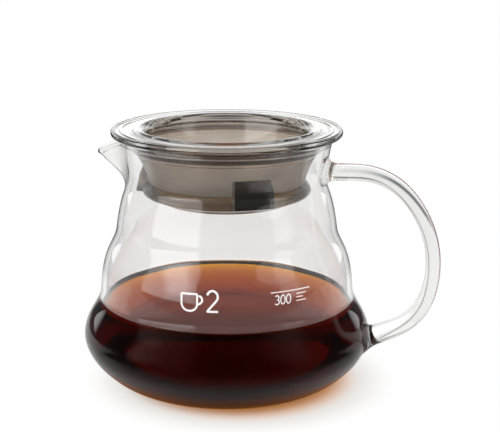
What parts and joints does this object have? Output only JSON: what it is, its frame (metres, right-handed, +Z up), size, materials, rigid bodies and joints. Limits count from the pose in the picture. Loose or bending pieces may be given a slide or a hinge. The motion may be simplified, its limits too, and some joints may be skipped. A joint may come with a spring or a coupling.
{
  "type": "coffee server carafe",
  "caption": "Glass coffee server with a three-tiered jug, pulled spout and rod handle, coffee inside, and a glass plug lid with a smoky silicone seal that lifts off.",
  "frame": {"origin": "centre of the flat foot, on the table", "axes": "+Z up along the jug's axis, +X out through the handle, -X out through the spout"},
  "size_m": [0.1317, 0.1062, 0.0943],
  "materials": {
    "jug_glass": "clear blown borosilicate glass, fire polished",
    "handle_glass": "clear drawn glass rod, fire polished",
    "lid_glass": "clear pressed glass, glossy",
    "smoky_silicone": "translucent grey-brown silicone, satin",
    "coffee": "black coffee: still liquid with a mirror surface, amber where it is thin"
  },
  "bodies": {
    "carafe": {"glass_body": "jug_glass", "handle": "handle_glass", "coffee": "coffee"},
    "lid": {"lid_glass": "lid_glass", "lid_seal": "smoky_silicone"}
  },
  "joints": [
    {"name": "lid_lift", "type": "slide", "parent": "carafe", "child": "lid", "axis": [0, 0, 1], "range_m": [0, 0.03]}
  ]
}
